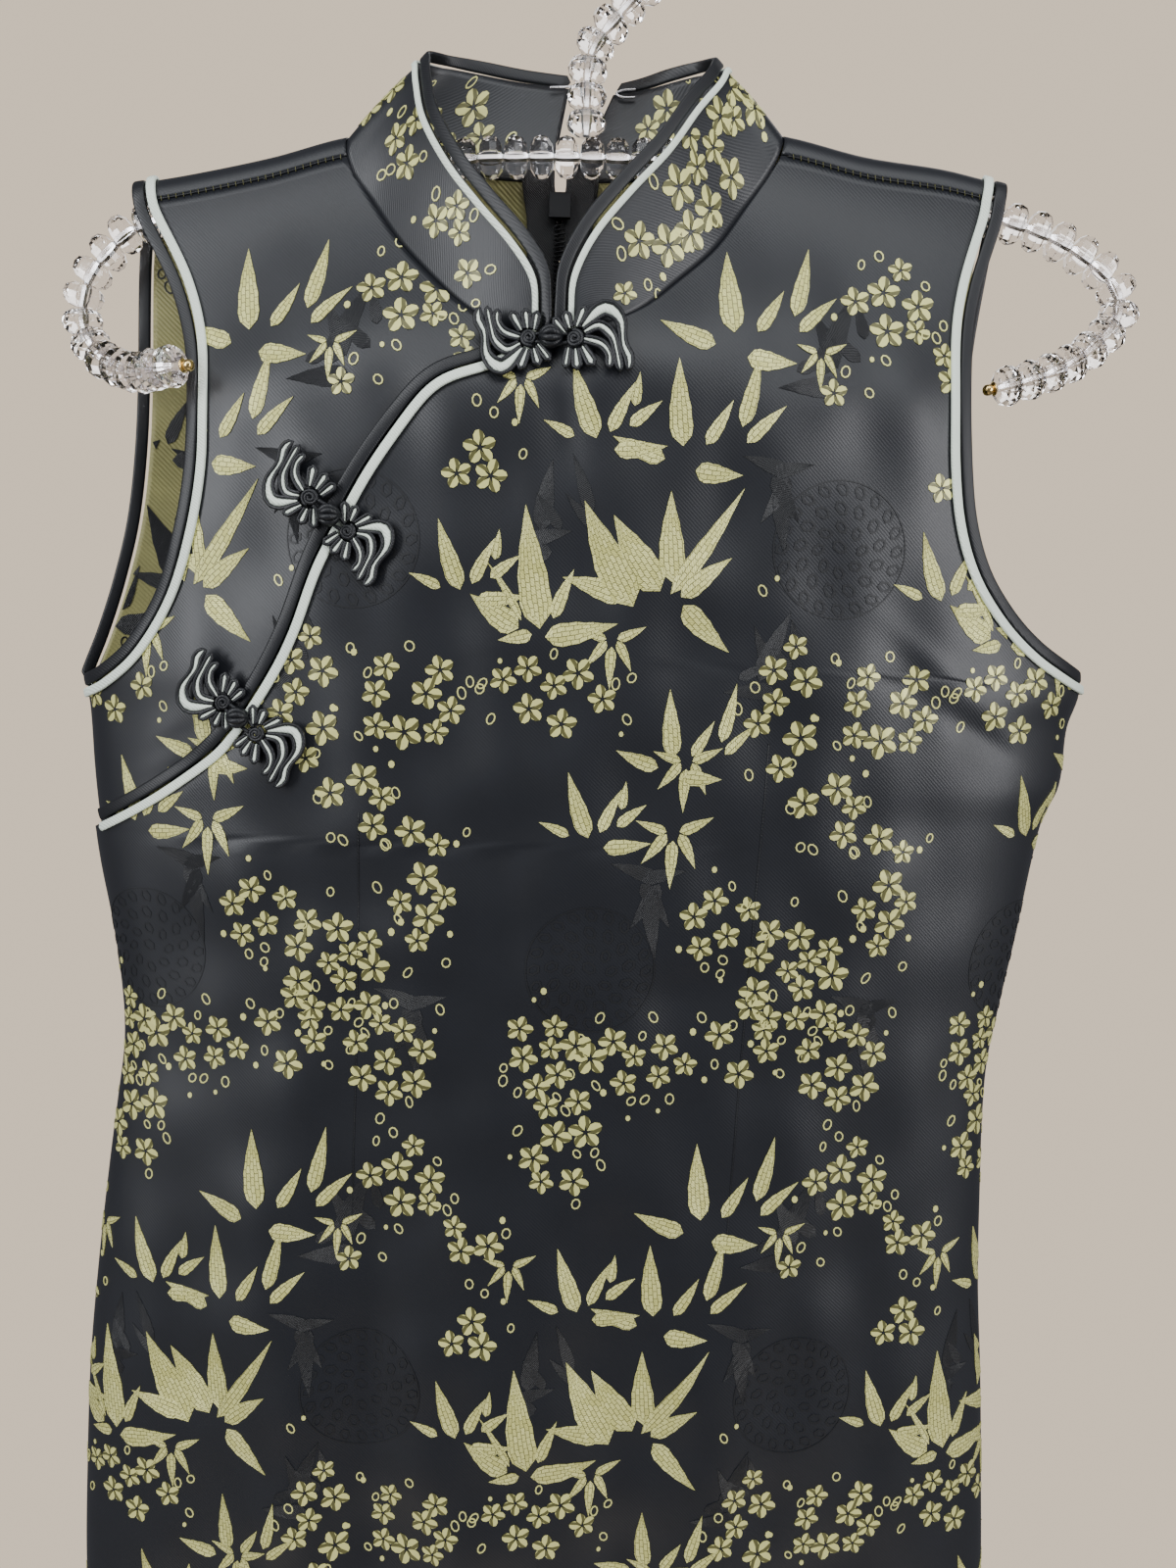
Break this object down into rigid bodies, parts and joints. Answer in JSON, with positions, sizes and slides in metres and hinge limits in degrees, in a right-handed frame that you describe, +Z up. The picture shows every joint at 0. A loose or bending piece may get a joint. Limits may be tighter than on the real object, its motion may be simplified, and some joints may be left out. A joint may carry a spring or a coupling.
{
  "type": "sleeveless cheongsam dress on a beaded coat hanger",
  "caption": "Sleeveless knee-length cheongsam with stand collar, curved side opening and frog fastenings, hanging on a clear beaded coat hanger with a hook.",
  "frame": {"origin": "inside of the hanger's hook, at its top, where the rail bears", "axes": "+Z up, -Y out of the front of the dress, +X to the right of someone looking at the front"},
  "size_m": [0.4363, 0.0833, 1.0549],
  "materials": {
    "brocade": "black silk-like satin brocade with pale gold woven bamboo and plum blossom; the reverse is a gold twill with black motifs",
    "black_satin": "satin bias tape and cord",
    "mint_satin": "pale mint satin piping",
    "zip_nylon": "woven tape and nylon coil",
    "zip_enamel": "black enamel on metal",
    "steel": "bright nickel plate",
    "crystal": "clear faceted acrylic on a silver wire",
    "gold": "polished gold plate"
  },
  "bodies": {
    "dress": {"front_panel": "brocade", "front_underlap": "brocade", "back_left": "brocade", "back_right": "brocade", "collar_left": "brocade", "collar_right": "brocade", "armhole_binding_left": "black_satin", "armhole_binding_right": "black_satin", "opening_binding": "black_satin", "collar_binding_left": "black_satin", "collar_binding_right": "black_satin", "frog_neck_left": "black_satin", "frog_neck_right": "black_satin", "frog_neck_button": "black_satin", "frog_chest_left": "black_satin", "frog_chest_right": "black_satin", "frog_chest_button": "black_satin", "frog_side_left": "black_satin", "frog_side_right": "black_satin", "frog_side_button": "black_satin", "armhole_piping_left": "mint_satin", "armhole_piping_right": "mint_satin", "opening_piping": "mint_satin", "collar_piping_left": "mint_satin", "collar_piping_right": "mint_satin", "zip_tape_left": "zip_nylon", "zip_tape_right": "zip_nylon", "zip_coil": "zip_nylon", "collar_hook": "steel", "collar_eye": "steel", "zip_slider": "zip_enamel", "hanger_arms": "crystal", "hanger_hook": "crystal", "hanger_tip_left": "gold", "hanger_tip_right": "gold", "hanger_tip_hook": "gold"},
    "zip_pull": {"zip_pull": "zip_enamel"}
  },
  "joints": [
    {"name": "zip_pull_swing", "type": "hinge", "parent": "dress", "child": "zip_pull", "pos_m": [-0.012, 0.0146, -0.1083], "axis": [1, 0, 0], "range_deg": [0, 150]}
  ]
}
